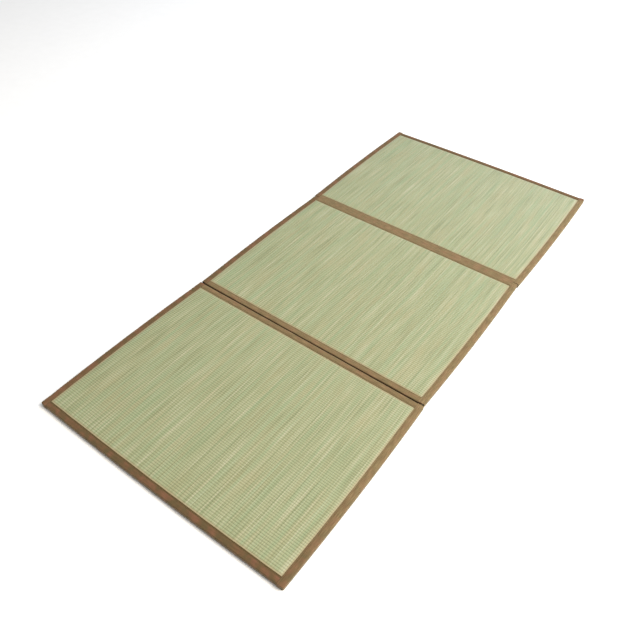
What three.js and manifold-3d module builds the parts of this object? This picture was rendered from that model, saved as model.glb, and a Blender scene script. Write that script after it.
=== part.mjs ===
// A tatami floor mat in three rush-faced panels that fold like a letter Z, bound in brown cloth tape.
// Millimetres, +Z up. The origin is on the floor under the middle of the mat. +X points to the right-hand
// long edge and +Y to the head end.

import * as THREE from 'three';
import { mergeVertices } from 'three/addons/utils/BufferGeometryUtils.js';
import Module from 'manifold-3d';

const wasm = await Module();
wasm.setup();

// The mat as a whole
const matWidth = 900;
const matLength = 2000;
const sideBow = 5;              // how far a panel's long edges are drawn in at its corners
const endBow = 5;               // the same at the foot end and the head end
const foldBow = 1;              // and at the folds, where two panels meet
const middlePanelDrawnIn = 2.5; // the middle panel is this much narrower on each side
const cornerRadius = 4;

// Cloth, pads and the gaps between pieces
const clothThickness = 1.2;
const gap = 0.3;
const padThickness = 13.5;
const padEdgeRound = 3.5;
const padCornerRadius = 14;
const bindingWidth = 20.5;
const tapeFoldRadius = 4;       // outer radius where a tape turns over the edge of a pad

// The folds
const foldPlace = matLength / 6; // distance of both folds from the middle of the mat
const openFoldGap = 3.5;        // slit between the foot panel and the middle panel
const closedFoldGap = 0.8;      // between the middle panel and the head panel, under the tape there
const overTapeWidth = 45;       // the tape on top of the closed fold
const underTapeWidth = openFoldGap + 2 * bindingWidth; // the tape on the floor under the open fold
const openSetBack = 0.6;        // the long tapes stop this far short of the open fold's slit

// A long tape lies over the ends of the cross tapes, so it steps up there
const stepUp = clothThickness + gap;
const stepReach = bindingWidth + stepUp + 2;
const stepRamp = 8;
const crossEndInset = 10;       // a cross tape ends this far inside the mat's long edge
const tuckClearance = 1.3;      // and its underside stops this far short of the long tape's

// The panels' outer ends, at the middle of their corner flaps. The end tapes lie just behind those.
const outerEnd = matLength / 2 + stepUp;

// Levels above the floor
const padBottom = clothThickness + gap;
const padTop = padBottom + padThickness;
const flangeBottom = padTop + gap;
const flangeTop = flangeBottom + clothThickness;
const middleLevel = flangeTop / 2;

// Fineness of the meshes
const stepsAlongPanel = 8;
const stepsAcrossMat = 12;
const stepsAlongPadSide = 8;
const arcSteps = 3;
const cutReach = 60;            // the blocks that trim a tape reach this far past it
const weldDistance = 1e-4;

const rushLook = { color: 0xa9aa7e, roughness: 0.72, metalness: 0 };
const bindingLook = { color: 0x7b5f40, roughness: 0.85, metalness: 0 };
const hingeLook = { color: 0x765b3d, roughness: 0.85, metalness: 0 };

// Each panel between its two ends. An outer end has a whole tape round it, and a fold has half of one.
const footPanel = {
  from: -outerEnd,
  to: -foldPlace - openFoldGap / 2,
  halfWidth: matWidth / 2,
  bow: { from: endBow, to: foldBow },
};
const middlePanel = {
  from: -foldPlace + openFoldGap / 2,
  to: foldPlace - closedFoldGap / 2,
  halfWidth: matWidth / 2 - middlePanelDrawnIn,
  bow: { from: foldBow, to: foldBow },
};
const headPanel = {
  from: foldPlace + closedFoldGap / 2,
  to: outerEnd,
  halfWidth: matWidth / 2,
  bow: { from: foldBow, to: endBow },
};
const panels = { foot: footPanel, middle: middlePanel, head: headPanel };

function evenly(from, to, steps) {
  return Array.from({ length: steps + 1 }, (_, i) => from + ((to - from) * i) / steps);
}

function isOuter(panel, end) {
  return Math.abs(panel[end]) === outerEnd;
}

// Moves a point of a straight-sided panel to where the bowed panel has it. Both are as wide and as long
// as each other along their middle lines.
function bowed(panel, x, y, z) {
  const halfLength = (panel.to - panel.from) / 2;
  const u = x / panel.halfWidth;
  const v = (y - panel.from) / halfLength - 1;
  const endDrawIn = v < 0 ? panel.bow.from : panel.bow.to;
  return new THREE.Vector3(x - u * sideBow * v ** 2, y - v * endDrawIn * u ** 2, z);
}

// Merges the corners that faces share, drops collapsed faces and turns the rest to face outward.
function closed(geometry) {
  const plain = geometry.index ? geometry.toNonIndexed() : geometry;
  plain.deleteAttribute('normal');
  plain.deleteAttribute('uv');
  plain.clearGroups();
  const merged = mergeVertices(plain, weldDistance);
  const position = merged.getAttribute('position');
  const index = merged.getIndex().array;
  const corner = (i) => new THREE.Vector3().fromBufferAttribute(position, i);
  const faces = [];
  let sixVolumes = 0;
  for (let i = 0; i < index.length; i += 3) {
    const [a, b, c] = index.slice(i, i + 3);
    if (a !== b && b !== c && c !== a) {
      faces.push([a, b, c]);
      sixVolumes += corner(a).dot(corner(b).cross(corner(c)));
    }
  }
  const outward = sixVolumes > 0 ? faces : faces.map(([a, b, c]) => [a, c, b]);
  merged.setIndex(outward.flat());
  return merged;
}

// Sweeps a closed outline through stations. place(a, h, station) puts each corner into the mat.
function sweep(outline, stations, place) {
  const steps = stations.length - 1;
  const geometry = new THREE.ExtrudeGeometry(new THREE.Shape(outline), {
    depth: steps,
    steps,
    bevelEnabled: false,
  });
  const position = geometry.getAttribute('position');
  for (let i = 0; i < position.count; i += 1) {
    const station = stations[Math.round(position.getZ(i))];
    const point = place(position.getX(i), position.getY(i), station);
    position.setXYZ(i, point.x, point.y, point.z);
  }
  return closed(geometry);
}

function toSolid(geometry) {
  const mesh = new wasm.Mesh({
    numProp: 3,
    vertProperties: new Float32Array(geometry.getAttribute('position').array),
    triVerts: new Uint32Array(geometry.getIndex().array),
  });
  return new wasm.Manifold(mesh);
}

function toGeometry(solid) {
  const mesh = solid.getMesh();
  const geometry = new THREE.BufferGeometry();
  geometry.setAttribute('position', new THREE.BufferAttribute(new Float32Array(mesh.vertProperties), 3));
  geometry.setIndex(new THREE.BufferAttribute(new Uint32Array(mesh.triVerts), 1));
  return geometry;
}

// Outlines of the tapes. "a" runs inward from the edge that the tape is folded over, and "h" is the
// height above the floor.
function corner(a, h) {
  return new THREE.Vector2(a, h);
}

function arc(centreH, radius, fromAngle, toAngle) {
  const angles = evenly(fromAngle, toAngle, arcSteps);
  return angles.map((angle) => corner(
    tapeFoldRadius + radius * Math.cos(angle),
    centreH + radius * Math.sin(angle),
  ));
}

const outerRadius = tapeFoldRadius;
const innerRadius = tapeFoldRadius - clothThickness;
const lowCentre = tapeFoldRadius;
const highCentre = flangeTop - tapeFoldRadius;
const outerLowArc = arc(lowCentre, outerRadius, 1.5 * Math.PI, Math.PI);
const outerHighArc = arc(highCentre, outerRadius, Math.PI, 0.5 * Math.PI);
const innerHighArc = arc(highCentre, innerRadius, 0.5 * Math.PI, Math.PI);
const innerLowArc = arc(lowCentre, innerRadius, Math.PI, 1.5 * Math.PI);

const wholeTape = [
  corner(bindingWidth, 0),
  ...outerLowArc,
  ...outerHighArc,
  corner(bindingWidth, flangeTop),
  corner(bindingWidth, flangeBottom),
  ...innerHighArc,
  ...innerLowArc,
  corner(bindingWidth, clothThickness),
];

const cornerFlap = [
  corner(bindingWidth, 0),
  ...outerLowArc,
  ...outerHighArc,
  corner(bindingWidth, flangeTop),
];

const upperHalfTape = [
  corner(0, padBottom),
  ...outerHighArc,
  corner(bindingWidth, flangeTop),
  corner(bindingWidth, flangeBottom),
  ...innerHighArc,
  corner(clothThickness, padBottom),
];

const lowerHalfTape = [
  corner(bindingWidth, 0),
  ...outerLowArc,
  corner(0, padTop),
  corner(clothThickness, padTop),
  ...innerLowArc,
  corner(bindingWidth, clothThickness),
];

// A pad: a soft-edged slab with rounded corners, faced with rush.
function rushPanel(panel) {
  const inset = (end) => clothThickness + gap + (isOuter(panel, end) ? stepUp : 0);
  const side = panel.halfWidth - clothThickness - gap;
  const low = panel.from + inset('from');
  const high = panel.to - inset('to');
  const r = padCornerRadius;
  const quarter = (x, y, startAngle) => evenly(startAngle, startAngle + Math.PI / 2, arcSteps)
    .map((angle) => [x + r * Math.cos(angle), y + r * Math.sin(angle)]);
  const rightSide = evenly(low + r, high - r, stepsAlongPadSide).slice(1, -1).map((y) => [side, y]);
  const leftSide = rightSide.map(([x, y]) => [-x, y]).reverse();
  const footSide = evenly(-side + r, side - r, stepsAcrossMat).slice(1, -1).map((x) => [x, low]);
  const headSide = footSide.map(([x]) => [x, high]).reverse();
  const outline = [
    ...footSide,
    ...quarter(side - r, low + r, -Math.PI / 2),
    ...rightSide,
    ...quarter(side - r, high - r, 0),
    ...headSide,
    ...quarter(-side + r, high - r, Math.PI / 2),
    ...leftSide,
    ...quarter(-side + r, low + r, Math.PI),
  ];
  const shape = new THREE.Shape(outline.map(([x, y]) => {
    const point = bowed(panel, x, y, 0);
    return new THREE.Vector2(point.x, point.y);
  }));
  const geometry = new THREE.ExtrudeGeometry(shape, {
    depth: padThickness - 2 * padEdgeRound,
    bevelThickness: padEdgeRound,
    bevelSize: padEdgeRound,
    bevelOffset: -padEdgeRound,
    bevelSegments: 2,
  });
  geometry.translate(0, 0, padBottom + padEdgeRound);
  return closed(geometry);
}

// How far the mat's rounded corner draws a long tape in, at a distance y from the foot end.
function cornerPull(panel, y) {
  const ends = ['from', 'to'].filter((end) => isOuter(panel, end));
  const inside = Math.min(cornerRadius, ...ends.map((end) => Math.abs(y - panel[end])));
  return cornerRadius - Math.sqrt(cornerRadius ** 2 - (cornerRadius - inside) ** 2);
}

// How much higher the top of a long tape lies over the cross tapes than along the open rush.
function stepAt(panel, y) {
  const fromEnd = Math.min(y - panel.from, panel.to - y);
  return stepUp * THREE.MathUtils.clamp((stepReach + stepRamp - fromEnd) / stepRamp, 0, 1);
}

// A tape along one long edge of a panel. side is 1 on the right and -1 on the left.
function longBinding(panel, side) {
  const place = (a, h, y) => {
    const pull = cornerPull(panel, y) * (1 - a / bindingWidth);
    const lift = h > middleLevel ? stepAt(panel, y) : 0;
    return bowed(panel, side * (panel.halfWidth - a - pull), y, h + lift);
  };
  const endStations = (end) => {
    // the open fold lies towards the foot end, and the closed one towards the head end
    const setBack = panel[end] < 0 ? openSetBack : 0;
    const flat = stepReach;
    const offsets = isOuter(panel, end)
      ? [0, clothThickness, cornerRadius / 2, cornerRadius, flat, flat + stepRamp]
      : [setBack, flat, flat + stepRamp];
    const inward = end === 'from' ? 1 : -1;
    return offsets.map((offset) => panel[end] + inward * offset);
  };
  const low = endStations('from');
  const high = endStations('to').reverse();
  const between = evenly(low.at(-1), high[0], stepsAlongPanel).slice(1, -1);
  let solid = toSolid(sweep(wholeTape, [...low, ...between, ...high], place));
  if (isOuter(panel, 'from')) {
    solid = solid.add(toSolid(sweep(cornerFlap, low.slice(0, 2), place)));
  }
  if (isOuter(panel, 'to')) {
    solid = solid.add(toSolid(sweep(cornerFlap, high.slice(-2), place)));
  }
  return toGeometry(solid);
}

// A tape across the mat at one end of a panel. At an outer end it sits behind the corner flaps.
function crossBinding(panel, end, outline) {
  const inward = end === 'from' ? 1 : -1;
  const setBack = isOuter(panel, end) ? stepUp : 0;
  const reach = panel.halfWidth - crossEndInset;
  return sweep(outline, evenly(-reach, reach, stepsAcrossMat), (a, h, x) => (
    bowed(panel, x, panel[end] + inward * (setBack + a), h)
  ));
}

// Cuts away what would lie on the floor under the long tapes.
function tuckedUnder(panel, end, geometry) {
  const tuck = bowed(panel, panel.halfWidth - bindingWidth - tuckClearance, panel[end], 0).x;
  let solid = toSolid(geometry);
  for (const side of [-1, 1]) {
    const block = new THREE.BoxGeometry(cutReach, 2 * cutReach, cutReach);
    block.translate(side * (tuck + cutReach / 2), panel[end], padBottom - cutReach / 2);
    solid = solid.subtract(toSolid(closed(block)));
  }
  return toGeometry(solid);
}

// A flat tape that joins two panels across a fold, and lets them fold towards it.
function hingeTape(foldY, width, halfLength, bottom) {
  const geometry = new THREE.BoxGeometry(2 * halfLength, width, clothThickness);
  geometry.translate(0, foldY, bottom + clothThickness / 2);
  return closed(geometry);
}

const mat = new THREE.Group();

function addPiece(name, geometry, look) {
  const mesh = new THREE.Mesh(geometry, new THREE.MeshStandardMaterial(look));
  mesh.name = name;
  mat.add(mesh);
}

for (const [name, panel] of Object.entries(panels)) {
  addPiece(`rush_panel_${name}`, rushPanel(panel), rushLook);
  addPiece(`long_binding_${name}_right`, longBinding(panel, 1), bindingLook);
  addPiece(`long_binding_${name}_left`, longBinding(panel, -1), bindingLook);
}

const footEnd = crossBinding(footPanel, 'from', wholeTape);
const headEnd = crossBinding(headPanel, 'to', wholeTape);
addPiece('end_binding_foot', tuckedUnder(footPanel, 'from', footEnd), bindingLook);
addPiece('end_binding_head', tuckedUnder(headPanel, 'to', headEnd), bindingLook);

addPiece('fold_binding_foot', crossBinding(footPanel, 'to', upperHalfTape), bindingLook);
addPiece('fold_binding_middle_open', crossBinding(middlePanel, 'from', upperHalfTape), bindingLook);
const underFoldMiddle = crossBinding(middlePanel, 'to', lowerHalfTape);
const underFoldHead = crossBinding(headPanel, 'from', lowerHalfTape);
addPiece('fold_binding_middle_closed', tuckedUnder(middlePanel, 'to', underFoldMiddle), bindingLook);
addPiece('fold_binding_head', tuckedUnder(headPanel, 'from', underFoldHead), bindingLook);

const tuckX = bowed(middlePanel, middlePanel.halfWidth - bindingWidth - tuckClearance, middlePanel.to, 0).x;
const crossX = bowed(middlePanel, middlePanel.halfWidth - crossEndInset, middlePanel.to, 0).x;
addPiece('hinge_tape_under', hingeTape(-foldPlace, underTapeWidth, tuckX, 0), hingeLook);
addPiece('hinge_tape_over', hingeTape(foldPlace, overTapeWidth, crossX, flangeBottom), hingeLook);

export default mat;
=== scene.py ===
import math

import bpy
import numpy as np
from mathutils import Matrix, Vector


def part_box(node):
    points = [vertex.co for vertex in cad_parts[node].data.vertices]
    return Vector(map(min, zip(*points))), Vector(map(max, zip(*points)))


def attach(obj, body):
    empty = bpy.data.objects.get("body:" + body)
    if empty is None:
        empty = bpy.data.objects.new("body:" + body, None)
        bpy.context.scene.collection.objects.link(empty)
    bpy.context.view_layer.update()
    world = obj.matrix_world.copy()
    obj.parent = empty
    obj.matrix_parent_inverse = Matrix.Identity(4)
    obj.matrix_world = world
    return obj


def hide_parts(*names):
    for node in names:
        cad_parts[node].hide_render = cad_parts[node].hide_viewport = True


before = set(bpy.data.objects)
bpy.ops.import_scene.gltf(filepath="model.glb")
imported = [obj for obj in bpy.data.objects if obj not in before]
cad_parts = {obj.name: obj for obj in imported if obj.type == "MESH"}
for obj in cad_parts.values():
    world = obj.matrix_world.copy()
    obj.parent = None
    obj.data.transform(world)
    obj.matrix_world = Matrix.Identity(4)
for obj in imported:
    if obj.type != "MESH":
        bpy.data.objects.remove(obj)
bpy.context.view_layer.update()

# A folding tatami mat: three rush panels bound in brown cloth tape.
# Metres, +Z up, the origin on the floor under the middle of the mat, +Y towards its head end.

mm = 0.001


def addObject(name, data):
    thing = bpy.data.objects.new(name, data)
    bpy.context.scene.collection.objects.link(thing)
    return thing


camera = {
    "place": (0.8454, -1.4648, 1.5172),
    "azimuth": 35.16,   # degrees round from the foot end, towards the right
    "elevation": 44.74,
    "roll": 1.75,
    "lens": 36.69,      # mm
    "sensor": 36,
    "nearest": 0.01,
}


def makeCamera(facts):
    azimuth = math.radians(facts["azimuth"])
    elevation = math.radians(facts["elevation"])
    roll = math.radians(facts["roll"])
    forward = Vector((
        -math.sin(azimuth) * math.cos(elevation),
        math.cos(azimuth) * math.cos(elevation),
        -math.sin(elevation),
    ))
    levelRight = Vector((math.cos(azimuth), math.sin(azimuth), 0))
    levelUp = levelRight.cross(forward)
    right = math.cos(roll) * levelRight + math.sin(roll) * levelUp
    up = math.cos(roll) * levelUp - math.sin(roll) * levelRight
    lensData = bpy.data.cameras.new("studio_camera")
    lensData.lens = facts["lens"]
    lensData.sensor_width = facts["sensor"]
    lensData.clip_start = facts["nearest"]
    cameraObject = addObject("studio_camera", lensData)
    turn = Matrix((right, up, -forward)).transposed().to_4x4()
    cameraObject.matrix_world = Matrix.Translation(facts["place"]) @ turn
    bpy.context.scene.camera = cameraObject


makeCamera(camera)
print("camera placed")


# The mat's sizes, worked out from the frame

def lowest(node):
    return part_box(node)[0]


def highest(node):
    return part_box(node)[1]


cloth = highest("hinge_tape_under").z           # a tape's thickness
padBottom = lowest("rush_panel_foot").z
padTop = highest("rush_panel_foot").z
flangeBottom = lowest("hinge_tape_over").z
flangeTop = highest("hinge_tape_over").z
middleLevel = flangeTop / 2
gap = padBottom - cloth
stepUp = cloth + gap                            # how far a long tape rises over a cross tape

outline = {
    "sideBow": 5 * mm,       # how far a panel's long edges are drawn in at its corners
    "endBow": 5 * mm,        # the same at the mat's two ends
    "foldBow": 1 * mm,       # and where two panels meet
    "cornerRadius": 4 * mm,
    "tapeFold": 3 * mm,      # outer radius where a tape turns over a pad's edge
    "crossInset": 10 * mm,   # a cross tape ends this far inside the long edge
    "tuck": 1.3 * mm,        # and its underside stops this far short of the long tape's
    "padRound": 3.5 * mm,
    "padCorner": 14 * mm,
    "stepSpare": 2 * mm,     # the long tape's step goes on this far past a cross tape
    "stepRamp": 8 * mm,
    "openSetBack": 0.6 * mm,   # the long tapes stop this far short of the open fold
    # under a long tape the cross tape is pressed thin, so the step that shows is lower than the solids'
    "pressed": 0.6,          # share of its thickness that it loses there
    "seenStep": 0.8 * mm,
    "flapInset": 0.75 * mm,
    "flapCloth": 0.55 * mm,
}

middleHalfWidth = highest("long_binding_middle_right").x
# a tape's inner edge lies lowest at its ends, where the bow draws it in
middleInnerEdge = lowest("long_binding_middle_right").x
bandWidth = middleHalfWidth - middleInnerEdge / (1 - outline["sideBow"] / middleHalfWidth)
stepReach = bandWidth + stepUp + outline["stepSpare"]


def makePanel(name, fromPlace, toPlace, outerEnds):
    return {
        "name": name,
        "from": fromPlace,
        "to": toPlace,
        "halfWidth": highest(f"long_binding_{name}_right").x,
        "outerEnds": outerEnds,   # those of its ends that are the mat's too
        "bow": {end: outline["endBow" if end in outerEnds else "foldBow"] for end in ("from", "to")},
    }


footPanel = makePanel(
    "foot", lowest("end_binding_foot").y - stepUp, highest("fold_binding_foot").y, ("from",),
)
middlePanel = makePanel(
    "middle", lowest("fold_binding_middle_open").y, highest("fold_binding_middle_closed").y, (),
)
headPanel = makePanel(
    "head", lowest("fold_binding_head").y, highest("end_binding_head").y + stepUp, ("to",),
)
panels = (footPanel, middlePanel, headPanel)


def smoothStep(low, high, value):
    share = np.clip((value - low) / (high - low), 0, 1)
    return share * share * (3 - 2 * share)


def roundedDrop(radius, inside):
    # how far a quarter round of this radius has fallen, this far inside its edge
    left = np.clip(radius - inside, 0, radius)
    return radius - np.sqrt(radius ** 2 - left ** 2)


def wander(seed, place, wavelengths):
    # a smooth random wave between -1 and 1, the same each time for the same seed
    chance = np.random.default_rng(seed)
    total = 0
    for wavelength in wavelengths:
        total = total + np.sin(2 * math.pi * (place / wavelength + chance.random()))
    return total / len(wavelengths)


def slanting(waves, along, across):
    seed, slant, wavelengths = waves
    return wander(seed, along + slant * across, wavelengths)


def paired(first, second):
    return np.stack(np.broadcast_arrays(first, second), axis=-1)


def bowed(panel, x, y, z):
    # moves a point of a straight-sided panel to where the bowed panel has it
    x, y, z = np.broadcast_arrays(x, y, z)
    halfLength = (panel["to"] - panel["from"]) / 2
    u = x / panel["halfWidth"]
    v = (y - panel["from"]) / halfLength - 1
    drawIn = np.where(v < 0, panel["bow"]["from"], panel["bow"]["to"])
    return np.stack([x - u * outline["sideBow"] * v ** 2, y - v * drawIn * u ** 2, z], axis=-1)


# Materials

noiseSpan = (0.3, 0.7)   # most of a noise texture's values lie between these


def hexToLinear(hexColour):
    value = int(hexColour[1:], 16)
    channels = [(value >> shift & 255) / 255 for shift in (16, 8, 0)]
    linear = [c / 12.92 if c <= 0.04045 else ((c + 0.055) / 1.055) ** 2.4 for c in channels]
    return (*linear, 1)


def setInputs(tree, node, inputs):
    # inputs are named, or in order. Each gets a plain value, a hex colour, a socket, or a node whose
    # first output feeds it
    usable = [socket for socket in node.inputs if socket.enabled]
    for key, value in inputs.items() if isinstance(inputs, dict) else enumerate(inputs):
        socket = usable[key] if isinstance(key, int) else next(s for s in usable if s.name == key)
        if isinstance(value, str):
            value = hexToLinear(value)
        if isinstance(value, bpy.types.Node):
            value = next(s for s in value.outputs if s.enabled)
        if isinstance(value, bpy.types.NodeSocket):
            tree.links.new(value, socket)
        else:
            socket.default_value = value


def addNode(tree, kind, inputs=(), **settings):
    node = tree.nodes.new(kind)
    for name, value in settings.items():
        setattr(node, name, value)
    setInputs(tree, node, inputs)
    return node


def addTint(tree, under, value, tint):
    # lays a tint over a colour, more of it as the value nears the end of the tint's span
    colour, most, span = tint
    share = addNode(tree, "ShaderNodeMapRange", [value, *span, 0, most])
    return addNode(tree, "ShaderNodeMix", [share, under, colour], data_type="RGBA"), share


def addGrain(tree, place, size, **inputs):
    # noise with a grain of this size, across and along
    scaled = addNode(tree, "ShaderNodeVectorMath", [place, (1 / size[0], 1 / size[1], 1)],
                     operation="MULTIPLY")
    return addNode(tree, "ShaderNodeTexNoise", {"Vector": scaled, "Scale": 1, **inputs})


def fillRamp(rampNode, stops):
    elements = rampNode.color_ramp.elements
    while len(elements) < len(stops):
        elements.new(0.5)
    for element, (place, colour) in zip(elements, stops):
        element.position = place
        element.color = hexToLinear(colour)


def newMaterial(name):
    material = bpy.data.materials.new(name)
    material.use_nodes = True
    return material, material.node_tree, material.node_tree.nodes["Principled BSDF"]


def finishSurface(tree, shader, facts, colour, depth, height):
    bump = addNode(tree, "ShaderNodeBump", {
        "Strength": facts["bumpStrength"], "Distance": depth, "Height": height,
    })
    setInputs(tree, shader, {"Base Color": colour, "Normal": bump, **facts["surface"]})


# Dried igusa rush, its stems woven lengthwise over hidden cotton warps. The eye gets rows of short
# floats with painted shade where each warp pulls them down, and every stem its own green or straw.
rushWeave = {
    "rowPitch": 7.5 * mm,      # from one warp to the next
    "stemWidth": 1.8 * mm,     # a real stem is 1.2 mm, too fine to show
    "stemHeight": 0.3 * mm,
    "bumpStrength": 0.6,
    "drift": (5 * mm, 180 * mm),     # a stem keeps its shade for about this far
    "bundle": (16 * mm, 500 * mm),   # stems cut together lie in streaks of about this size
    "blotch": (60 * mm, 130 * mm),
    "stems": [(0, "#838760"), (0.35, "#92956d"), (0.6, "#9a9c75"), (0.85, "#a1a07c"), (1, "#acaa89")],
    "stemShades": (0.2, 0.8),        # the stems' own places among those colours
    "driftShades": (-0.42, 0.42),    # and how far a stem drifts from its own
    # tints over the stems: the colour, its largest share, and where it comes in, by noise or distance
    "greener": ("#8b9a72", 0.7, (0.52, 0.3)),
    "riper": ("#9e966e", 0.5, (1.02, 1.35)),
    "fleck": ("#7d6c40", 0.45, (0.66, 0.74)),
    "cream": ("#a68e6b", 0.65, (7 * mm, 1 * mm)),
    # the painted shade in the grooves over a warp and between two stems. Each grows between two places,
    # from the middle of a float or a stem (0) to its edge (0.5), and leaves this much light at each
    "paintedWarpGroove": (0.26, 0.48, 1, 0.69),
    "paintedStemGroove": (0.3, 0.5, 1, 0.9),
    "pressedPaintedGroove": 0.92,       # the light that both leave beside the tape
    # the same for a stem's height, across itself and along a float
    "roundAcross": (0.15, 0.5, 1, 0),
    "roundAlong": (0.3, 0.5, 1, 0.2),
    "fleckFineness": 900,
    "fleckStretch": 12,        # how many times longer than wide
    # the waxy skin of a stem is smoother than its dusty side
    "roughness": (0.46, 0.62),
    # rush is dipped in clay before it dries, and that leaves a pale bloom
    "surface": {"IOR": 1.45, "Sheen Weight": 0.9, "Sheen Roughness": 0.32, "Sheen Tint": "#bcdcf5"},
}


def makeIgusaRush(facts):
    material, tree, shader = newMaterial("igusa_rush_weave")
    uv = addNode(tree, "ShaderNodeUVMap", uv_map="weave").outputs["UV"]
    place = addNode(tree, "ShaderNodeSeparateXYZ", [uv])
    rowPlace = addNode(tree, "ShaderNodeMath", [place.outputs["Y"], facts["rowPitch"]],
                       operation="DIVIDE")
    row = addNode(tree, "ShaderNodeMath", [rowPlace], operation="FLOOR")
    alongFloat = addNode(tree, "ShaderNodeMath", [rowPlace], operation="FRACT")
    oddRow = addNode(tree, "ShaderNodeMath", [row, 2], operation="FLOORED_MODULO")
    stemPlace = addNode(tree, "ShaderNodeMath", [place.outputs["X"], facts["stemWidth"]],
                        operation="DIVIDE")
    # the next row shows the stems in between, half a stem along
    shifted = addNode(tree, "ShaderNodeMath", [oddRow, 0.5, stemPlace], operation="MULTIPLY_ADD")
    stem = addNode(tree, "ShaderNodeMath", [shifted], operation="FLOOR")
    acrossStem = addNode(tree, "ShaderNodeMath", [shifted], operation="FRACT")
    whichStem = addNode(tree, "ShaderNodeCombineXYZ", [stem])
    chance = addNode(tree, "ShaderNodeTexWhiteNoise", {"Vector": whichStem}, noise_dimensions="3D")

    # every stem has its own shade, and it drifts a little from root to tip
    drift = addGrain(tree, uv, facts["drift"], Detail=2)
    driftShade = addNode(tree, "ShaderNodeMapRange", [drift, *noiseSpan, *facts["driftShades"]])
    ownShade = addNode(tree, "ShaderNodeMapRange", [chance, 0, 1, *facts["stemShades"]])
    shade = addNode(tree, "ShaderNodeMath", [ownShade, driftShade], operation="ADD", use_clamp=True)
    stemColour = addNode(tree, "ShaderNodeValToRGB", [shade])
    fillRamp(stemColour, facts["stems"])

    # streaks of greener and of riper rush, and broad blotches across them
    bundle = addGrain(tree, uv, facts["bundle"], Detail=3, Roughness=0.6)
    colour, _ = addTint(tree, stemColour, bundle, facts["greener"])
    blotch = addGrain(tree, uv, facts["blotch"], Detail=2)
    ripeness = addNode(tree, "ShaderNodeMath", [bundle, blotch], operation="ADD")
    colour, _ = addTint(tree, colour, ripeness, facts["riper"])

    # a few stems have brown flecks, drawn out along them
    fleckPlace = addNode(tree, "ShaderNodeVectorMath", [uv, (1, 1 / facts["fleckStretch"], 1)],
                         operation="MULTIPLY")
    fleckPoint = addNode(tree, "ShaderNodeVectorMath", [fleckPlace, whichStem], operation="ADD")
    fleck = addNode(tree, "ShaderNodeTexNoise", {
        "Vector": fleckPoint, "Scale": facts["fleckFineness"], "Detail": 1,
    })
    colour, _ = addTint(tree, colour, fleck, facts["fleck"])

    # stem ends under the tape's edge stayed paler
    fromTape = addNode(tree, "ShaderNodeAttribute", attribute_name="from_tape").outputs["Fac"]
    colour, creamShare = addTint(tree, colour, fromTape, facts["cream"])

    # painted shade in the grooves: deep over each warp, faint between stems
    warpSide = addNode(tree, "ShaderNodeMath", [alongFloat, 0.5], operation="SUBTRACT")
    warpNear = addNode(tree, "ShaderNodeMath", [warpSide], operation="ABSOLUTE")
    warpPaintedShade = addNode(tree, "ShaderNodeMapRange", [warpNear, *facts["paintedWarpGroove"]],
                        interpolation_type="SMOOTHSTEP")
    stemSide = addNode(tree, "ShaderNodeMath", [acrossStem, 0.5], operation="SUBTRACT")
    stemNear = addNode(tree, "ShaderNodeMath", [stemSide], operation="ABSOLUTE")
    stemPaintedShade = addNode(tree, "ShaderNodeMapRange", [stemNear, *facts["paintedStemGroove"]])
    paintedGrooveShade = addNode(tree, "ShaderNodeMath", [warpPaintedShade, stemPaintedShade], operation="MULTIPLY")
    # the tape presses the weave flat beside it, so the painted groove shade is fainter there
    fainterPaintedShade = addNode(tree, "ShaderNodeMix", [creamShare, paintedGrooveShade, facts["pressedPaintedGroove"]],
                         data_type="FLOAT")
    colour = addNode(tree, "ShaderNodeVectorMath", [colour, fainterPaintedShade], operation="SCALE")
    roughness = addNode(tree, "ShaderNodeMapRange", [chance, 0, 1, *facts["roughness"]])
    setInputs(tree, shader, {"Roughness": roughness})

    # each float is a short round rod
    roundStem = addNode(tree, "ShaderNodeMapRange", [stemNear, *facts["roundAcross"]],
                        interpolation_type="SMOOTHSTEP")
    floatEnds = addNode(tree, "ShaderNodeMapRange", [warpNear, *facts["roundAlong"]],
                        interpolation_type="SMOOTHSTEP")
    height = addNode(tree, "ShaderNodeMath", [roundStem, floatEnds], operation="MULTIPLY")
    finishSurface(tree, shader, facts, colour, facts["stemHeight"], height)
    return material


# Spun cotton and polyester canvas, dyed brown in the piece. The eye gets a matt, slightly hairy
# plain weave, uneven dye with redder and more olive places, and a darker strip along the hem.
tapeCanvas = {
    "threadSpacing": 1.3 * mm,     # real threads are 0.6 mm apart, too fine to show
    "threadHeight": 0.18 * mm,
    "bumpStrength": 0.7,
    "patch": (27 * mm, 27 * mm),
    "slub": (1.8 * mm, 30 * mm),   # a thicker length of thread
    "hemStrip": 5.5 * mm,
    "dye": [(0.36, "#5a492c"), (0.5, "#654b2f"), (0.64, "#714e36")],
    "slubShade": (0.86, 1.14),
    "pitPaintedShade": (0.78, 1.04),      # painted shade in the pits, painted light on the threads' tops
    "archLow": 0.55,               # where a thread dives, as a share of its height
    "slubHeight": 0.4,             # a share of a thread's
    "hem": "#4f3f1e",
    "hemMost": 0.9,
    # the paler colour of worn cloth, which also carries the painted light
    "wornAndLit": "#8d7b56",
    "surface": {
        "Roughness": 0.88, "IOR": 1.5, "Specular IOR Level": 0.3,
        "Sheen Weight": 0.55, "Sheen Roughness": 0.32, "Sheen Tint": "#dfe0c0",
    },
}


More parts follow.
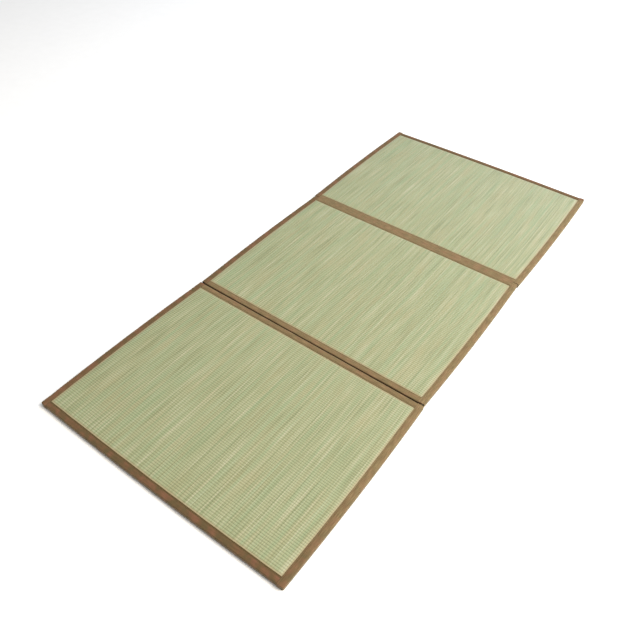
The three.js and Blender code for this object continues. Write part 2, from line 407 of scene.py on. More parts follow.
def makeTapeCanvas(facts):
    material, tree, shader = newMaterial("brown_tape_canvas")
    uv = addNode(tree, "ShaderNodeUVMap", uv_map="weave").outputs["UV"]
    threadPlace = addNode(tree, "ShaderNodeVectorMath", [uv, 1 / facts["threadSpacing"]],
                          operation="SCALE")
    whichThread = addNode(tree, "ShaderNodeVectorMath", [threadPlace], operation="FLOOR")
    inThread = addNode(tree, "ShaderNodeVectorMath", [threadPlace], operation="FRACTION")
    thread = addNode(tree, "ShaderNodeSeparateXYZ", [whichThread])
    inside = addNode(tree, "ShaderNodeSeparateXYZ", [inThread])
    sumOfThreads = addNode(tree, "ShaderNodeMath", [thread.outputs[0], thread.outputs[1]],
                           operation="ADD")
    warpOnTop = addNode(tree, "ShaderNodeMath", [sumOfThreads, 2], operation="FLOORED_MODULO")
    acrossAngle = addNode(tree, "ShaderNodeMath", [inside.outputs[0], math.pi], operation="MULTIPLY")
    across = addNode(tree, "ShaderNodeMath", [acrossAngle], operation="SINE")
    alongAngle = addNode(tree, "ShaderNodeMath", [inside.outputs[1], math.pi], operation="MULTIPLY")
    along = addNode(tree, "ShaderNodeMath", [alongAngle], operation="SINE")
    # whichever thread is on top is round across itself and arches over the other
    topRound = addNode(tree, "ShaderNodeMix", [warpOnTop, across, along], data_type="FLOAT")
    topArch = addNode(tree, "ShaderNodeMix", [warpOnTop, along, across], data_type="FLOAT")
    arch = addNode(tree, "ShaderNodeMapRange", [topArch, 0, 1, facts["archLow"], 1])
    threadHeight = addNode(tree, "ShaderNodeMath", [topRound, arch], operation="MULTIPLY")

    patch = addGrain(tree, uv, facts["patch"], Detail=2)
    dye = addNode(tree, "ShaderNodeValToRGB", [patch])
    fillRamp(dye, facts["dye"])
    slub = addGrain(tree, uv, facts["slub"], Detail=2)
    slubShade = addNode(tree, "ShaderNodeMapRange", [slub, *noiseSpan, *facts["slubShade"]])
    # painted shade in the pits between threads, joined below to the slubs' own tone
    pitPaintedShade = addNode(tree, "ShaderNodeMapRange", [threadHeight, 0, 1, *facts["pitPaintedShade"]])
    toneAndPaintedShade = addNode(tree, "ShaderNodeMath", [slubShade, pitPaintedShade], operation="MULTIPLY")

    # a darker strip along the hem beside the rush
    girth = addNode(tree, "ShaderNodeSeparateXYZ", [uv]).outputs["X"]
    hemEdge = (facts["hemStrip"] + 1 * mm, facts["hemStrip"] - 1 * mm)
    hemShare = addNode(tree, "ShaderNodeMapRange", [girth, *hemEdge, 0, facts["hemMost"]],
                       interpolation_type="SMOOTHSTEP")
    # but not where the long tapes lie over the cross tapes
    hemHere = addNode(tree, "ShaderNodeAttribute", attribute_name="hem").outputs["Fac"]
    hemPart = addNode(tree, "ShaderNodeMath", [hemShare, hemHere], operation="MULTIPLY")
    hemmed = addNode(tree, "ShaderNodeMix", [hemPart, dye, facts["hem"]], data_type="RGBA")
    # paler where the cloth is worn and where light is painted on, most of all on its thick threads
    wearAndLight = addNode(tree, "ShaderNodeAttribute", attribute_name="wearAndLight").outputs["Fac"]
    wornAndLitPart = addNode(tree, "ShaderNodeMath", [wearAndLight, slub], operation="MULTIPLY")
    wornAndLit = addNode(tree, "ShaderNodeMix", [wornAndLitPart, hemmed, facts["wornAndLit"]], data_type="RGBA")
    colour = addNode(tree, "ShaderNodeVectorMath", [wornAndLit, toneAndPaintedShade], operation="SCALE")
    height = addNode(tree, "ShaderNodeMath", [slub, facts["slubHeight"], threadHeight],
                     operation="MULTIPLY_ADD")
    finishSurface(tree, shader, facts, colour, facts["threadHeight"], height)
    return material


# Spun polyester sewing thread. The eye gets a soft satin line with the twist of its plies.
sewingThread = {
    "plySpacing": 0.55 * mm,
    "plyHeight": 0.08 * mm,
    "bumpStrength": 0.5,
    "light": "#8a6d49",
    "dark": "#6b5334",
    "surface": {"Roughness": 0.55},
}


def makeSewingThread(facts):
    material, tree, shader = newMaterial("spun_sewing_thread")
    place = addNode(tree, "ShaderNodeTexCoord").outputs["Object"]
    scaled = addNode(tree, "ShaderNodeVectorMath", [place, 1 / facts["plySpacing"]], operation="SCALE")
    twist = addNode(tree, "ShaderNodeTexWave", {
        "Vector": scaled, "Scale": 0.5, "Distortion": 1.5, "Detail": 1,
    }, bands_direction="DIAGONAL").outputs["Fac"]
    colour = addNode(tree, "ShaderNodeMix", [twist, facts["dark"], facts["light"]], data_type="RGBA")
    finishSurface(tree, shader, facts, colour, facts["plyHeight"], twist)
    return material


rushMaterial = makeIgusaRush(rushWeave)
canvasMaterial = makeTapeCanvas(tapeCanvas)
threadMaterial = makeSewingThread(sewingThread)
print("materials made")


# Building meshes

def addPiece(name, points, faces, material, sharpAngle, uv=None, shades=None):
    mesh = bpy.data.meshes.new(name)
    mesh.from_pydata(points.tolist(), [], faces)
    mesh.materials.append(material)
    if uv is not None:
        corners = np.empty(len(mesh.loops), dtype=np.int32)
        mesh.loops.foreach_get("vertex_index", corners)
        layer = mesh.uv_layers.new(name="weave")
        layer.data.foreach_set("uv", uv[corners].astype(np.float32).ravel())
    for shadeName, values in (shades or {}).items():
        attribute = mesh.attributes.new(shadeName, "FLOAT", "POINT")
        attribute.data.foreach_set("value", values.astype(np.float32).ravel())
    mesh.shade_smooth()
    mesh.set_sharp_from_angle(angle=math.radians(sharpAngle))
    piece = addObject(name, mesh)
    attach(piece, "root")
    return piece


def gridFaces(grid, closed=False, flipped=False):
    # faces between the rows of a grid of point numbers. Closed rows are rings
    if closed:
        grid = np.concatenate([grid, grid[..., :1]], axis=-1)
    near, far = grid[..., :-1, :], grid[..., 1:, :]
    quads = np.stack([near[..., :-1], near[..., 1:], far[..., 1:], far[..., :-1]], axis=-1)
    quads = quads.reshape(-1, 4)
    return (quads[:, ::-1] if flipped else quads).tolist()


# A rush panel: a slab whose top rises in ribs, one over each gap between two warps

rushShape = {
    "floatPhases": [0, 0.13, 0.32, 0.5, 0.68, 0.87],   # where a rib's surface is sampled
    "closestRows": 0.05 * mm,
    "columnSpacing": 8.5 * mm,
    "edgeSpacing": 2.5 * mm,      # closer beside the tape
    "edgeReach": 18 * mm,
    "underTape": 6 * mm,          # the closer columns go on this far under it
    "ribHeight": 0.65 * mm,
    "ribFullness": 0.7,           # 1 would be a plain half wave
    "ribRise": (-1 * mm, 7 * mm),   # from the tape's edge to where a rib has its full height
    "pressedRib": 0.12 * mm,      # under the tape
    "pressedLevel": 0.15 * mm,    # how far the stitching presses the rush below the pad's top
    "crown": 0.85 * mm,           # how far the field stands above what is under the tape
    "crownRise": (-3 * mm, 16 * mm),
    "unevenness": 0.14 * mm,
    "unevenRise": (0, 40 * mm),
    "rowWander": 0.5 * mm,
    "rowRise": (0, 30 * mm),
    # seed, slant and wavelengths of the waves in it
    "acrossWaves": (11, 0.4, [0.23, 0.37]),
    "alongWaves": (12, -0.3, [0.31, 0.19]),
    "rowWaves": (5, 0.15, [0.34, 0.21, 0.13]),
    "underColumns": 14,
    "underRib": 0.35 * mm,
    "sharpAngle": 60,
}
# places round the pad's edge, measured inwards
padEdge = np.array([0, 0.35, 1.1, 2.2, outline["padRound"] / mm]) * mm


def endSetBack(panel, end):
    # how far the tape at an outer end lies inside the mat's end, under the corner flaps
    return stepUp if end in panel["outerEnds"] else 0


def rushColumns(side, panel):
    # x of the mesh's columns, closer together beside the tape
    facts = rushShape
    inner = panel["halfWidth"] - bandWidth
    nearTape = np.arange(inner - facts["edgeReach"], inner + facts["underTape"], facts["edgeSpacing"])
    field = np.linspace(0, inner - facts["edgeReach"] - facts["columnSpacing"],
                        round(inner / facts["columnSpacing"]))
    half = np.unique(np.concatenate([field, nearTape, side - padEdge]))
    return np.concatenate([-half[:0:-1], half])


def makeRushPanel(panel):
    facts = rushShape
    inset = cloth + gap
    low = panel["from"] + endSetBack(panel, "from") + inset
    high = panel["to"] - endSetBack(panel, "to") - inset
    side = panel["halfWidth"] - inset
    pitch = rushWeave["rowPitch"]
    ribs = np.arange(math.ceil(low / pitch) + 1, math.floor(high / pitch) - 1)
    ribPlaces = (ribs[:, None] + np.array(facts["floatPhases"])[None, :]).ravel() * pitch
    y = np.unique(np.concatenate([low + padEdge, ribPlaces, high - padEdge]))
    y = y[np.concatenate([[True], np.diff(y) > facts["closestRows"]])]
    yGrid = y[:, None]

    def surface(x, top):
        # where the woven face lies at these columns
        xGrid = x[None, :]
        fromEdge = (side - np.abs(xGrid), np.minimum(yGrid - low, high - yGrid))
        fromTape = np.minimum(*fromEdge) + inset - bandWidth
        fall = sum(roundedDrop(outline["padRound"], distance) for distance in fromEdge)
        fall = np.minimum(fall, outline["padRound"])
        rib = np.sin(math.pi * np.mod(yGrid / pitch, 1)) ** facts["ribFullness"]
        if top:
            freeRib = facts["ribHeight"] - facts["pressedRib"]
            ribHeight = facts["pressedRib"] + freeRib * smoothStep(*facts["ribRise"], fromTape)
            crown = facts["crown"] * smoothStep(*facts["crownRise"], fromTape)
            uneven = slanting(facts["acrossWaves"], xGrid, yGrid)
            uneven = uneven + slanting(facts["alongWaves"], yGrid, xGrid)
            uneven = uneven * facts["unevenness"] * smoothStep(*facts["unevenRise"], fromTape)
            level = padTop - facts["pressedLevel"] + crown + uneven + ribHeight * rib - fall
        else:
            level = padBottom + facts["underRib"] * (1 - rib) + fall
        # rows wander a little, and the pad's corners are rounded
        rowShift = facts["rowWander"] * slanting(facts["rowWaves"], xGrid, yGrid)
        rowShift = rowShift * smoothStep(*facts["rowRise"], fromTape)
        rounding = roundedDrop(outline["padCorner"], fromEdge[1])
        squeezed = xGrid * (side - rounding) / side
        points = bowed(panel, squeezed, yGrid + rowShift, level)
        return points.reshape(-1, 3), paired(xGrid, yGrid).reshape(-1, 2), fromTape.ravel()

    columns = rushColumns(side, panel)
    underInner = side - outline["padRound"]
    underColumns = np.unique(np.concatenate([
        np.linspace(-underInner, underInner, facts["underColumns"]), side - padEdge, padEdge - side,
    ]))
    topPoints, topUv, topFrom = surface(columns, True)
    underPoints, underUv, underFrom = surface(underColumns, False)
    topGrid = np.arange(len(topPoints)).reshape(len(y), -1)
    underGrid = len(topPoints) + np.arange(len(underPoints)).reshape(len(y), -1)
    faces = gridFaces(topGrid) + gridFaces(underGrid, flipped=True)
    for column in (0, -1):
        faces += gridFaces(np.stack([topGrid[:, column], underGrid[:, column]]), flipped=column < 0)
    faces.append([*underGrid[0].tolist(), *topGrid[0, ::-1].tolist()])
    faces.append([*topGrid[-1].tolist(), *underGrid[-1, ::-1].tolist()])
    piece = addPiece(
        f"woven_rush_{panel['name']}", np.concatenate([topPoints, underPoints]), faces, rushMaterial,
        facts["sharpAngle"], uv=np.concatenate([topUv, underUv]),
        shades={"from_tape": np.concatenate([topFrom, underFrom])},
    )
    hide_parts(f"rush_panel_{panel['name']}")
    return piece


rushPieces = {panel["name"]: makeRushPanel(panel) for panel in panels}
print("rush panels woven")


# Tapes. A section runs in a, inward from the edge that the tape is folded over, and in h, up from the
# floor. Its outer face and its inner face have as many points as each other.

tapeShape = {
    "hemPlaces": np.array([0, 0.35, 0.9, 1.7, 2.5, 2.95, 3.4, 3.85, 4.3, 5.2]) * mm,   # from the hem
    "fieldStart": 7.5 * mm,
    "stitchInset": 3.4 * mm,       # from the hem to the line of stitches
    "stitchDip": 0.5 * mm,
    "stitchDipWidth": 0.8 * mm,
    "pillow": 0.35 * mm,           # how far the band swells between the stitches and the fold
    "pillowFullness": 0.8,
    "hemRound": 0.45 * mm,
    "hemRoundReach": 1 * mm,
    "rim": 0.35,                   # how far a cut edge bulges, as a share of the cloth's thickness
    "stationSpacing": 7 * mm,
    "closest": 0.35 * mm,
    "hemWander": 0.35 * mm,
    "edgeWander": 0.3 * mm,
    "longWaves": ([0.061, 0.094, 0.17], [0.083, 0.21]),    # m, of the hem and of the folded edge
    "crossWaves": ([0.067, 0.101, 0.19], [0.091, 0.23]),
    "hingeWaves": [0.071, 0.12, 0.2],
    "pressRamp": (-2.5 * mm, 0.5 * mm),   # over the long tape's inner edge, where others are pressed
    "endRound": 1.2 * mm,
    "longHem": 0.3,                # how dark the hem of a long tape is, where a cross tape's is 1
    "hemRise": (-2 * mm, 4 * mm),  # where that begins, from a cross tape's hem
    "edgeSeed": 50,                # added to a tape's seed for its folded edge
    "clothApart": 0.53,            # m of cloth from one tape to the next, so that no two are alike
    "turn": 2.5 * mm,              # round a fold to its middle, where it wears
    "turnReach": (-1.5 * mm, 2 * mm),
    "wearWidth": 3 * mm,
    "edgeWear": 0.15,
    # painted light on each tape, as a paler colour: most on the right, facing the light, none at the
    # ends
    "paintedLight": {"right": 1, "left": 0, "end": 0, "fold": 0.8},
    "paintedLightSide": 0.33,             # the part that hangs down gets this share of it, so it looks shaded below the lit top
    "paintedLightFrom": (-1.15, -0.6),    # y where the painted light starts to grow, and where it is whole
    "paintedLightEnd": (0.7, 1),          # the same from the head end, in tape widths
    "sharpAngle": 55,
}
stitchPlace = bandWidth - tapeShape["stitchInset"]


def bell(distance, width):
    return np.exp(-((distance / width) ** 2))


def bandRelief(a):
    # how far the band's face stands above the flat tape
    facts = tapeShape
    share = np.clip((a - outline["tapeFold"]) / (stitchPlace - outline["tapeFold"]), 0, 1)
    swell = facts["pillow"] * np.sin(math.pi * share) ** facts["pillowFullness"]
    dip = facts["stitchDip"] * bell(a - stitchPlace, facts["stitchDipWidth"])
    hem = facts["hemRound"] * smoothStep(bandWidth - facts["hemRoundReach"], bandWidth, a)
    return swell - dip - hem


def bandRun():
    # a of the points along one flange, from its hem to the fold
    field = np.linspace(bandWidth - tapeShape["fieldStart"], outline["tapeFold"], 5)
    return np.concatenate([bandWidth - tapeShape["hemPlaces"], field])


def tapeSection(kind):
    # (a, h) of the outer and the inner face: "whole" from hem to hem, or only "upper" or "lower"
    radius = outline["tapeFold"]
    run = bandRun()
    quarter = np.linspace(0, math.pi / 2, 6)[1:]
    highCentre = flangeTop - radius
    side = {
        "whole": np.linspace(highCentre, radius, 4)[1:-1],
        "upper": np.linspace(highCentre, padBottom, 5)[1:],
        "lower": np.linspace(padTop, radius, 5)[:-1],
    }[kind]
    faces = []
    for bandLevel, turnRadius, inset in (
        (flangeTop + bandRelief(run), radius, 0), (flangeBottom, radius - cloth, cloth),
    ):
        upper = np.concatenate([
            paired(run, bandLevel),
            paired(radius - turnRadius * np.sin(quarter), highCentre + turnRadius * np.cos(quarter)),
        ])
        lower = upper[::-1] * [1, -1] + [0, flangeTop]
        lower[:, 1] = np.maximum(lower[:, 1], 0)
        flank = paired(inset, side)
        parts = {"whole": [upper, flank, lower], "upper": [upper, flank], "lower": [flank, lower]}
        faces.append(np.concatenate(parts[kind]))
    return faces


def girthOf(outer, kind):
    # distance round the cloth from the hem that shows on top
    steps = np.hypot(*np.diff(outer, axis=0).T)
    girth = np.concatenate([[0], np.cumsum(steps)])
    return girth + (flangeTop if kind == "lower" else 0)


def rimPoint(edge, nextInside, otherFace):
    # the rounded edge of a cloth between its two faces
    outward = edge - nextInside
    outward = outward / np.linalg.norm(outward, axis=-1, keepdims=True)
    thickness = np.linalg.norm(edge - otherFace, axis=-1, keepdims=True)
    return (edge + otherFace) / 2 + tapeShape["rim"] * thickness * outward


def clothStrip(outer, inner, uv, wearAndLight, hem):
    # a closed strip of cloth. outer and inner are grids of points, stations by section points
    stations, across = outer.shape[:2]
    first = rimPoint(outer[:, :1], outer[:, 1:2], inner[:, :1])
    last = rimPoint(outer[:, -1:], outer[:, -2:-1], inner[:, -1:])
    loop = np.concatenate([first, outer, last, inner[:, ::-1]], axis=1)
    loop[..., 2] = np.maximum(loop[..., 2], 0)
    order = [0, *range(across), across - 1, *range(across - 1, -1, -1)]
    count = len(order)
    faces = gridFaces(np.arange(stations * count).reshape(stations, count), closed=True)
    for base, flipped in ((0, True), ((stations - 1) * count, False)):
        ends = [[base, base + 1, base + count - 1]]
        for i in range(1, across):
            ends.append([base + i, base + i + 1, base + count - i - 1, base + count - i])
        ends.append([base + across, base + across + 1, base + across + 2])
        faces += [face[::-1] for face in ends] if flipped else ends
    points = loop.reshape(-1, 3)
    middle = points.mean(axis=0)
    triangles = points[np.array([face[:3] for face in faces])] - middle
    if np.einsum("ij,ij->", triangles[:, 0], np.cross(triangles[:, 1], triangles[:, 2])) < 0:
        faces = [face[::-1] for face in faces]
    shades = [np.broadcast_to(shade, uv.shape[:2])[:, order].ravel() for shade in (wearAndLight, hem)]
    return points, faces, uv[:, order].reshape(-1, 2), *shades


def joinStrips(strips):
    faces = []
    start = 0
    for strip in strips:
        faces += [[start + corner for corner in face] for face in strip[1]]
        start += len(strip[0])
    points, uv, wearAndLight, hem = (np.concatenate([strip[part] for strip in strips]) for part in (0, 2, 3, 4))
    return points, faces, uv, {"wearAndLight": wearAndLight, "hem": hem}


def sweptTape(section, kind, stations, place, seed, hem, paintedLight):
    # sweeps a section through stations. place(a, h, station) puts each point into the mat
    facts = tapeShape
    outer, inner = (place(face[None, :, 0], face[None, :, 1], stations[:, None]) for face in section)
    girth = girthOf(section[0], kind)
    uv = paired(girth[None, :], stations[:, None] + facts["clothApart"] * seed)
    turn = bandWidth - outline["tapeFold"] + facts["turn"]
    hanging = smoothStep(turn + facts["turnReach"][0], turn + facts["turnReach"][1], girth)
    # painted light, less on the hanging side so the top looks lit, then real wear at the fold
    wearAndLight = paintedLight * (1 - (1 - facts["paintedLightSide"]) * hanging)
    wearAndLight = wearAndLight + facts["edgeWear"] * bell(girth - turn, facts["wearWidth"])
    return clothStrip(outer, inner, uv, np.atleast_2d(wearAndLight), hem[:, None])


def strayed(seed, along, hemShare, waves):
    # how far the cloth strays sideways, at its hem and at its folded edge
    facts = tapeShape
    hemWaves, edgeWaves = waves
    hem = facts["hemWander"] * wander(seed, along, hemWaves)
    edge = facts["edgeWander"] * wander(seed + facts["edgeSeed"], along, edgeWaves)
    return hem * hemShare + edge * (1 - hemShare)


def fromFlap(panel, y):
    # distance from the corner flap at the panel's outer end, where it has one
    if not panel["outerEnds"]:
        return np.full_like(y, np.inf)
    return np.maximum(np.abs(y - panel[panel["outerEnds"][0]]) - outline["flapInset"], 0)


def underLongTape(panel, x):
    # 1 where a cross tape runs under the long tape and is pressed thin, 0 where it lies open
    return smoothStep(*tapeShape["pressRamp"], np.abs(x) - panel["halfWidth"] + bandWidth)


def pressThin(h, pressed):
    # the height of a point of an upper flange once it is pressed
    kept = 1 - outline["pressed"] * pressed
    return np.where(h > flangeBottom, flangeBottom + (h - flangeBottom) * kept, h)


def longTapePlace(panel, side, seed):
    # gives the function that puts a long tape's section into the mat
    def place(a, h, y):
        up = smoothStep(outline["tapeFold"], flangeTop - outline["tapeFold"], h)
        fromEnd = np.minimum(y - panel["from"], panel["to"] - y)
        lift = outline["seenStep"] * smoothStep(stepReach + outline["stepRamp"], stepReach, fromEnd)
        toFlap = fromFlap(panel, y)
        endDrop = roundedDrop(tapeShape["endRound"], toFlap)
        shift = strayed(seed, y, a / bandWidth, tapeShape["longWaves"])
        pull = roundedDrop(outline["cornerRadius"], toFlap) * (1 - a / bandWidth)
        x = side * (panel["halfWidth"] - a - pull - shift * up)
        return bowed(panel, x, y, h + up * (lift - endDrop))
    return place


stitches = {
    "pitch": 4.6 * mm,
    "length": 3.4 * mm,
    "thickness": 0.6 * mm,
    "proud": 0.12 * mm,
    "unevenness": 0.12 * mm,   # of their places along the seam
    "sides": 5,
    "fromEnd": 3 * mm,         # of a tape
    "fromTuck": 5 * mm,        # underneath, where a cross tape is cut back
    "offFloor": 0.02 * mm,
    # a stitch is a bead that dives into the cloth at both ends: places along it, heights and girths
    "spine": np.array([-0.5, -0.3, 0.3, 0.5]),
    "rise": np.array([-0.35, 0.2, 0.2, -0.35]),
    "fullness": np.array([0.3, 1, 1, 0.3]),
    "sharpAngle": 50,
}


def makeStitching(name, seams):
    # sewn lines joined into one piece. A seam is the function that puts the tape's section into the mat,
    # the seam's place in that section, its two ends, and 1 on top or -1 underneath
    facts = stitches
    sides = facts["sides"]
    chance = np.random.default_rng(len(name))
    spine = facts["spine"] * facts["length"]
    rise = facts["rise"] * facts["thickness"] + facts["proud"]
    girths = facts["fullness"] * facts["thickness"] / 2
    angles = np.arange(sides) * 2 * math.pi / sides
    stations = len(spine)
    points, faces = [], []
    for place, row, ends, up in seams:
        count = round((ends[1] - ends[0]) / facts["pitch"])
        middles = np.linspace(*ends, count) + chance.normal(0, facts["unevenness"], count)
        y = (middles[:, None] + spine[None, :]).ravel()
        level = flangeTop - tapeShape["stitchDip"] if up > 0 else tapeShape["stitchDip"]
        path = place(np.full_like(y, row), np.full_like(y, level), y).reshape(count, stations, 3)
        path = path + np.array([0, 0, up]) * rise[None, :, None]
        along = path[:, -1] - path[:, 0]
        along = along / np.linalg.norm(along, axis=1)[:, None]
        sideways = np.cross(along, [0, 0, 1])[:, None, None, :]
        upward = np.cross(sideways[:, 0, 0], along)[:, None, None, :]
        ring = np.cos(angles)[:, None] * sideways + np.sin(angles)[:, None] * upward
        tube = path[:, :, None, :] + ring * girths[None, :, None, None]
        start = sum(len(part) for part in points)
        points.append(tube.reshape(-1, 3))
        rings = start + np.arange(points[-1].size // 3).reshape(count, stations, sides)
        faces += gridFaces(rings, closed=True) + rings[:, 0, ::-1].tolist() + rings[:, -1].tolist()
    points = np.concatenate(points)
    points[:, 2] = np.maximum(points[:, 2], facts["offFloor"])
    piece = addPiece(name, points, faces, threadMaterial, facts["sharpAngle"])
    return piece


def addTape(name, node, strips, seams):
    # one tape with its stitching, standing for its CAD node
    points, faces, uv, shades = joinStrips(strips)
    tape = addPiece(name, points, faces, canvasMaterial, tapeShape["sharpAngle"], uv, shades)
    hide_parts(node)
    stitching = makeStitching(f"{name}_stitching", seams)


def evenStations(low, high, closeBy):
    # places along a tape, with closer ones wherever closeBy asks
    even = np.linspace(low, high, round((high - low) / tapeShape["stationSpacing"]))
    extra = np.array([low, high, *(place for place in closeBy if low < place < high)])
    even = even[np.min(np.abs(even[:, None] - extra[None, :]), axis=1) > tapeShape["closest"]]
    return np.unique(np.concatenate([even, extra]))


def withinEnds(low, high, margin):
    return low + margin, high - margin


flapShape = {
    "edgePlaces": np.array([0.3, 0.8, 1.6, 2.7, 4]) * mm,   # from the folded edge
    "fieldStart": 6 * mm,
    "fieldEnd": 0.4 * mm,    # from the hem
    "inset": 0.3 * mm,       # it ends this far inside the tape's outline
    "rows": 9,
    "puff": 0.2 * mm,
    "wearWidth": 2 * mm,
}


def cornerFlap(panel, end, place, seed):
    # the end of a long tape, turned down over the end tape at the mat's corner
    facts = flapShape
    inward = 1 if end == "from" else -1
    a = np.concatenate([
        facts["edgePlaces"], np.linspace(facts["fieldStart"], bandWidth - facts["fieldEnd"], 7),
    ])
    bottom = roundedDrop(outline["tapeFold"], a) + facts["inset"]
    top = flangeTop - bottom
    share = np.linspace(0, 1, facts["rows"])
    h = top[:, None] + (bottom - top)[:, None] * share[None, :]
    puff = facts["puff"] * np.sin(math.pi * share)[None, :] * np.sin(math.pi * a / bandWidth)[:, None]
    faces = []
    for depth, swell in ((0, 1), (outline["flapCloth"], 0)):
        face = place(a[:, None], h, np.full_like(h, panel[end]))
        face[..., 1] += inward * (outline["flapInset"] + depth - swell * puff)
        faces.append(face)
    uv = paired(bandWidth + share[None, :] * flangeTop, a[:, None] + seed)
    wearAndLight = tapeShape["edgeWear"] * bell(share * flangeTop, facts["wearWidth"])[None, :]
    return clothStrip(*faces, uv, wearAndLight, np.zeros((1, 1)))


# where a long tape's stations lie closer together, measured from its ends
longEndPlaces = np.concatenate([
    np.array([0.15, 0.4, 0.8, 1.2, 2, 3, 4.2, 5.6, 7.2, 9, 12]) * mm,
    stepReach + np.linspace(0, 1, 7) * outline["stepRamp"],
])


def makeLongBinding(panel, sideName, seed):
    facts = tapeShape
    place = longTapePlace(panel, 1 if sideName == "right" else -1, seed)

    def setBack(end):
        if end in panel["outerEnds"]:
            return outline["flapInset"]
        return outline["openSetBack"] if panel[end] < 0 else 0

    low = panel["from"] + setBack("from")
    high = panel["to"] - setBack("to")
    stations = evenStations(low, high, [*(low + longEndPlaces), *(high - longEndPlaces)])
    fromEnd = np.minimum(stations - low, high - stations)
    hem = facts["longHem"] * smoothStep(*facts["hemRise"], fromEnd - bandWidth)
    # painted light: less towards the foot end, and none where it crosses the tape at the head end
    toHead = (headPanel["to"] - stations) / bandWidth
    paintedLight = smoothStep(*facts["paintedLightFrom"], stations) * smoothStep(*facts["paintedLightEnd"], toHead)
    paintedLight = facts["paintedLight"][sideName] * paintedLight[:, None]
    section = tapeSection("whole")
    strips = [sweptTape(section, "whole", stations, place, seed, hem, paintedLight)]
    for end in panel["outerEnds"]:
        strips.append(cornerFlap(panel, end, place, seed))
    ends = withinEnds(low, high, stitches["fromEnd"])
    seams = [(place, stitchPlace, ends, up) for up in (1, -1)]
    where = f"{panel['name']}_{sideName}"
    addTape(f"long_tape_{where}", f"long_binding_{where}", strips, seams)


crossTuck = {
    "ramp": 1.5 * mm,     # how gently the underside is cut back
    "depth": 0.95,        # share of the band that is cut away there
    "steepness": 1.5,
    "places": np.array([-2.2, -1.5, -1, -0.5, 0, 0.8]) * mm,
}


def tuckStartOf(panel):
    # the x beyond which a cross tape's underside is cut back, because the long tape's begins there
    return panel["halfWidth"] - bandWidth - outline["tuck"]


def crossTapePlace(panel, end, seed):
    # gives the function that puts a cross tape's section into the mat
    inward = 1 if end == "from" else -1
    tuckStart = tuckStartOf(panel)

    def place(a, h, x):
        up = smoothStep(outline["tapeFold"], flangeTop - outline["tapeFold"], h)
        shift = strayed(seed, x, a / bandWidth, tapeShape["crossWaves"])
        h = pressThin(h, underLongTape(panel, x))
        beyond = smoothStep(tuckStart - crossTuck["ramp"], tuckStart, np.abs(x))
        tucked = beyond * np.clip(1 - h / middleLevel, 0, 1)
        cutAway = crossTuck["depth"] * np.minimum(tucked * crossTuck["steepness"], 1)
        narrowed = a - cutAway * np.maximum(a - outline["tapeFold"], 0)
        y = panel[end] + inward * (endSetBack(panel, end) + narrowed + shift * up)
        return bowed(panel, x, y, h + tucked * padBottom)
    return place


def makeCrossBinding(edge, where, panel, end, kind, seed):
    # edge is "end" or "fold", and where is which of them
    place = crossTapePlace(panel, end, seed)
    reach = panel["halfWidth"] - outline["crossInset"]
    tuckStart = tuckStartOf(panel)
    closer = tuckStart + crossTuck["places"]
    stations = evenStations(-reach, reach, [*closer, *(-closer)])
    section = tapeSection(kind)
    seams = []
    if kind != "lower":
        seams.append((place, stitchPlace, withinEnds(-reach, reach, stitches["fromEnd"]), 1))
    if kind != "upper":
        seams.append((place, stitchPlace, withinEnds(-tuckStart, tuckStart, stitches["fromTuck"]), -1))
    # painted light on this tape, as a paler colour
    paintedLight = tapeShape["paintedLight"][edge]
    strip = sweptTape(section, kind, stations, place, seed, np.ones_like(stations), paintedLight)
    addTape(f"{edge}_tape_{where}", f"{edge}_binding_{where}", [strip], seams)


hingeShape = {
    "crease": 0.5 * mm,
    "creaseWidth": 1.1 * mm,
    "pressPlaces": np.array([-2.5, -1.7, -1, -0.3, 0.5]) * mm,
}


def makeHingeTape(name, node, up, seed):
    # a flat tape over or under a fold. up is 1 where its good side is on top, and -1 underneath
    facts = tapeShape
    low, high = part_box(node)
    halfWidth = (high.y - low.y) / 2
    foldY = (high.y + low.y) / 2
    run = bandRun() + halfWidth - bandWidth
    half = np.concatenate([run, np.linspace(run[-1], 0, 8)[1:]])
    y = np.concatenate([half, -half[-2::-1]])
    fromHem = halfWidth - np.abs(y)
    dip = facts["stitchDip"] * bell(fromHem - facts["stitchInset"], facts["stitchDipWidth"])
    hem = facts["hemRound"] * smoothStep(facts["hemRoundReach"], 0, fromHem)
    relief = dip + hem + hingeShape["crease"] * bell(y, hingeShape["creaseWidth"])
    good = high.z - relief if up > 0 else low.z + relief
    back = np.full_like(y, low.z if up > 0 else high.z)
    closer = middlePanel["halfWidth"] - bandWidth + hingeShape["pressPlaces"]
    stations = evenStations(low.x, high.x, [*closer, *(-closer)])

    def place(across, h, x):
        shift = facts["hemWander"] * wander(seed, x, facts["hingeWaves"]) * across / halfWidth
        h = pressThin(h, underLongTape(middlePanel, x))
        across, h, x = np.broadcast_arrays(across + shift, h, x)
        return np.stack([x, foldY + across, h], axis=-1)

    faces = [place(y[None, :], h[None, :], stations[:, None]) for h in (good, back)]
    uv = paired(fromHem[None, :], stations[:, None] + facts["clothApart"] * seed)
    # painted light on the hinge tape, as a paler colour
    strip = clothStrip(*faces, uv, np.full((1, 1), facts["paintedLight"]["fold"]), np.ones((1, 1)))
    sewn = halfWidth - facts["stitchInset"]
    ends = withinEnds(low.x, high.x, stitches["fromEnd"])
    seams = [(place, row, ends, up) for row in (-sewn, sewn)]
    addTape(name, node, [strip], seams)


# each tape's own random seed
seeds = {"long": 21, "cross": 31, "under": 37, "over": 38}

for number, panel in enumerate(panels):
    makeLongBinding(panel, "right", seeds["long"] + 2 * number)
    makeLongBinding(panel, "left", seeds["long"] + 2 * number + 1)
print("long tapes sewn")

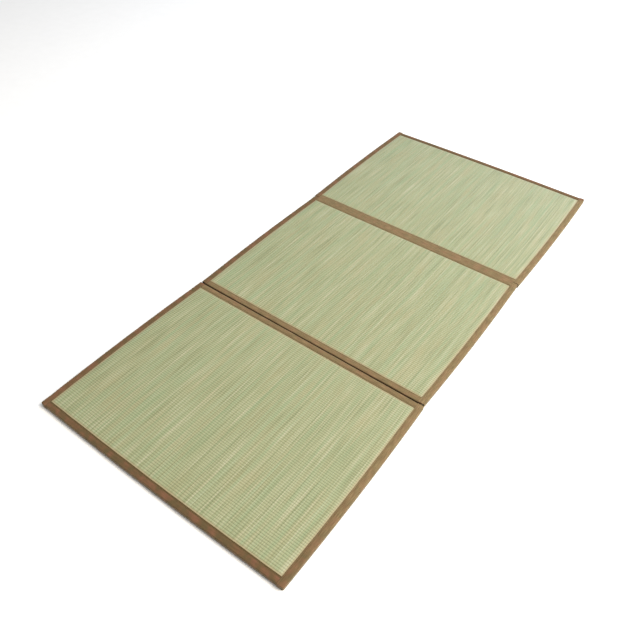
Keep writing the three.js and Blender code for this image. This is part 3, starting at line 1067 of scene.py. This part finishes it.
crossTapes = [
    ("end", "foot", footPanel, "from", "whole"),
    ("end", "head", headPanel, "to", "whole"),
    ("fold", "foot", footPanel, "to", "upper"),
    ("fold", "middle_open", middlePanel, "from", "upper"),
    ("fold", "middle_closed", middlePanel, "to", "lower"),
    ("fold", "head", headPanel, "from", "lower"),
]
for number, crossFacts in enumerate(crossTapes):
    makeCrossBinding(*crossFacts, seeds["cross"] + number)
makeHingeTape("hinge_band_under", "hinge_tape_under", -1, seeds["under"])
makeHingeTape("hinge_band_over", "hinge_tape_over", 1, seeds["over"])
print("cross tapes and hinge tapes sewn")


# Matt off-white studio paper, rolled out flat. The eye gets an even pale ground with a trace of mottle.
studioPaper = {
    "size": 40,          # m, so that its edge lies far off
    "mottle": (60 * mm, 60 * mm),
    "light": "#f7f6f4",
    "dark": "#f2f1ef",
    "surface": {"Roughness": 0.95, "Specular IOR Level": 0.1},
}


def makeFloor(facts):
    material, tree, shader = newMaterial("studio_paper")
    place = addNode(tree, "ShaderNodeTexCoord").outputs["Object"]
    mottle = addGrain(tree, place, facts["mottle"], Detail=3)
    colour = addNode(tree, "ShaderNodeMix", [mottle, facts["dark"], facts["light"]], data_type="RGBA")
    setInputs(tree, shader, {"Base Color": colour, **facts["surface"]})
    half = facts["size"] / 2
    corners = [(-half, -half, 0), (half, -half, 0), (half, half, 0), (-half, half, 0)]
    mesh = bpy.data.meshes.new("studio_floor")
    mesh.from_pydata(corners, [], [(0, 1, 2, 3)])
    mesh.materials.append(material)
    addObject("studio_floor", mesh)


makeFloor(studioPaper)


# A big softbox high on the right, and a cooler window low behind the head end
softboxes = {
    "softbox": {
        "place": (3.2, 0.6, 3.9), "aim": (0, -0.1, 0), "size": 2.6, "watts": 372, "colour": "#fffaf2",
    },
    "window": {
        "place": (0.6, 5.2, 3.4), "aim": (0.1, 0, 0), "size": 2.6, "watts": 190, "colour": "#d6e6ff",
    },
}
roomLight = {"colour": "#ffffff", "strength": 0.5}


def makeSoftbox(name, facts):
    lamp = bpy.data.lights.new(name, "AREA")
    lamp.shape = "SQUARE"
    lamp.size = facts["size"]
    lamp.energy = facts["watts"]
    lamp.color = hexToLinear(facts["colour"])[:3]
    lampObject = addObject(name, lamp)
    lampObject.location = facts["place"]
    aim = Vector(facts["aim"]) - Vector(facts["place"])
    lampObject.rotation_euler = aim.to_track_quat("-Z", "Y").to_euler()


def makeRoomLight(facts):
    world = bpy.data.worlds.new("studio")
    world.use_nodes = True
    background = world.node_tree.nodes["Background"]
    setInputs(world.node_tree, background, {"Color": facts["colour"], "Strength": facts["strength"]})
    bpy.context.scene.world = world
    bpy.context.scene.view_settings.view_transform = "Standard"


for lampName, lampFacts in softboxes.items():
    makeSoftbox(lampName, lampFacts)
makeRoomLight(roomLight)
print("floor and light set")
